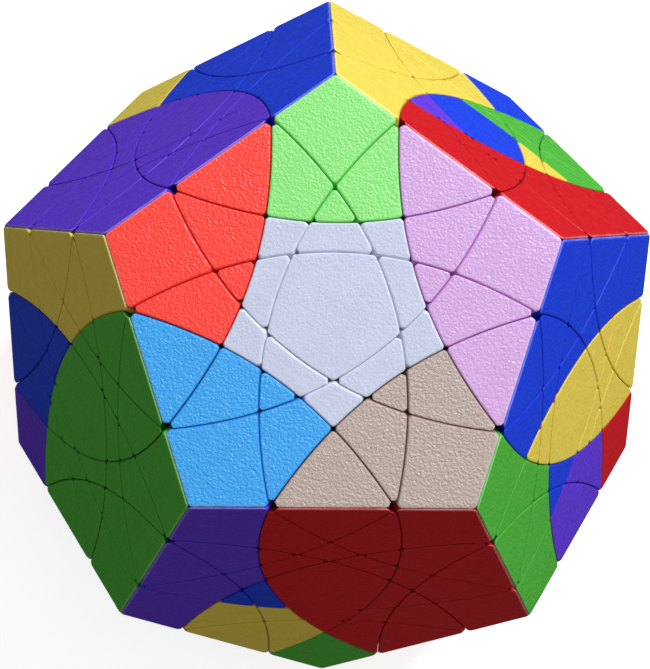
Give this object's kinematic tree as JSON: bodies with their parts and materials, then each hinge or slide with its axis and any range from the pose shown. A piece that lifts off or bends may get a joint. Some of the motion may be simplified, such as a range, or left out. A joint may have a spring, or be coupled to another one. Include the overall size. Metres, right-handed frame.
{
  "type": "dodecahedron twisty puzzle",
  "caption": "Edge-turning dodecahedron puzzle: curved conical cuts divide each face into small tiles, and caps centred on the edges turn by half turns to scramble the colours.",
  "frame": {"origin": "centre of the puzzle's core, which is the centre of its bounding box", "axes": "+Z out of the white face, which lies on top when the puzzle stands on its grey face; +Y from the centre towards the white face's lime-tiled corner"},
  "size_m": [0.1048, 0.1102, 0.089],
  "materials": {
    "white": "fine frosted moulding texture, satin gloss",
    "blue": "fine frosted moulding texture, satin gloss",
    "red": "fine frosted moulding texture, satin gloss",
    "green": "fine frosted moulding texture, satin gloss",
    "purple": "fine frosted moulding texture, satin gloss",
    "yellow": "fine frosted moulding texture, satin gloss",
    "grey": "fine frosted moulding texture, satin gloss",
    "sky": "fine frosted moulding texture, satin gloss",
    "orange": "fine frosted moulding texture, satin gloss",
    "lime": "fine frosted moulding texture, satin gloss",
    "pink": "fine frosted moulding texture, satin gloss",
    "beige": "fine frosted moulding texture, satin gloss",
    "black": "moulded, matt",
    "steel": "zinc-plated steel"
  },
  "bodies": {
    "frame": {"core": "black", "cap_screw_a": "steel", "cap_screw_b": "steel", "cap_screw_c": "steel", "cap_screw_d": "steel", "cap_screw_e": "steel", "cap_screw_f": "steel", "link_corner_1": "lime", "link_corner_2": "orange", "link_corner_3": "purple", "link_corner_4": "red", "plain_corner_1": "grey", "plain_corner_2": "beige", "plain_corner_3": "blue", "plain_corner_4": "yellow"},
    "cap_a": {"edge_piece_a": "red", "corner_piece_a1": "blue", "corner_piece_a2": "pink", "side_shell_a1": "blue", "side_shell_a2": "yellow", "cap_hub_a": "black", "cap_spring_a": "steel"},
    "cap_b": {"edge_piece_b": "sky", "corner_piece_b1": "purple", "corner_piece_b2": "orange", "side_shell_b1": "orange", "side_shell_b2": "sky", "cap_hub_b": "black", "cap_spring_b": "steel"},
    "cap_c": {"edge_piece_c": "blue", "corner_piece_c1": "yellow", "corner_piece_c2": "white", "side_shell_c1": "purple", "side_shell_c2": "lime", "cap_hub_c": "black", "cap_spring_c": "steel"},
    "cap_d": {"edge_piece_d": "white", "corner_piece_d1": "green", "corner_piece_d2": "beige", "side_shell_d1": "red", "side_shell_d2": "beige", "cap_hub_d": "black", "cap_spring_d": "steel"},
    "cap_e": {"edge_piece_e": "green", "corner_piece_e1": "sky", "corner_piece_e2": "orange", "side_shell_e1": "white", "side_shell_e2": "green", "cap_hub_e": "black", "cap_spring_e": "steel"},
    "cap_f": {"edge_piece_f": "pink", "corner_piece_f1": "grey", "corner_piece_f2": "lime", "side_shell_f1": "grey", "side_shell_f2": "pink", "cap_hub_f": "black", "cap_spring_f": "steel"}
  },
  "joints": [
    {"name": "cap_a_turn", "type": "hinge", "parent": "frame", "child": "cap_a", "pos_m": [0, 0, 0], "axis": [0.809, 0.2629, 0.5257], "continuous": true},
    {"name": "cap_b_turn", "type": "hinge", "parent": "frame", "child": "cap_b", "pos_m": [0, 0, 0], "axis": [-0.809, -0.2629, -0.5257], "continuous": true},
    {"name": "cap_c_turn", "type": "hinge", "parent": "frame", "child": "cap_c", "pos_m": [0, 0, 0], "axis": [-0.309, 0.9511, 0], "continuous": true},
    {"name": "cap_d_turn", "type": "hinge", "parent": "frame", "child": "cap_d", "pos_m": [0, 0, 0], "axis": [0.309, -0.9511, 0], "continuous": true},
    {"name": "cap_e_turn", "type": "hinge", "parent": "frame", "child": "cap_e", "pos_m": [0, 0, 0], "axis": [-0.5, -0.1625, 0.8507], "continuous": true},
    {"name": "cap_f_turn", "type": "hinge", "parent": "frame", "child": "cap_f", "pos_m": [0, 0, 0], "axis": [0.5, 0.1625, -0.8507], "continuous": true}
  ]
}
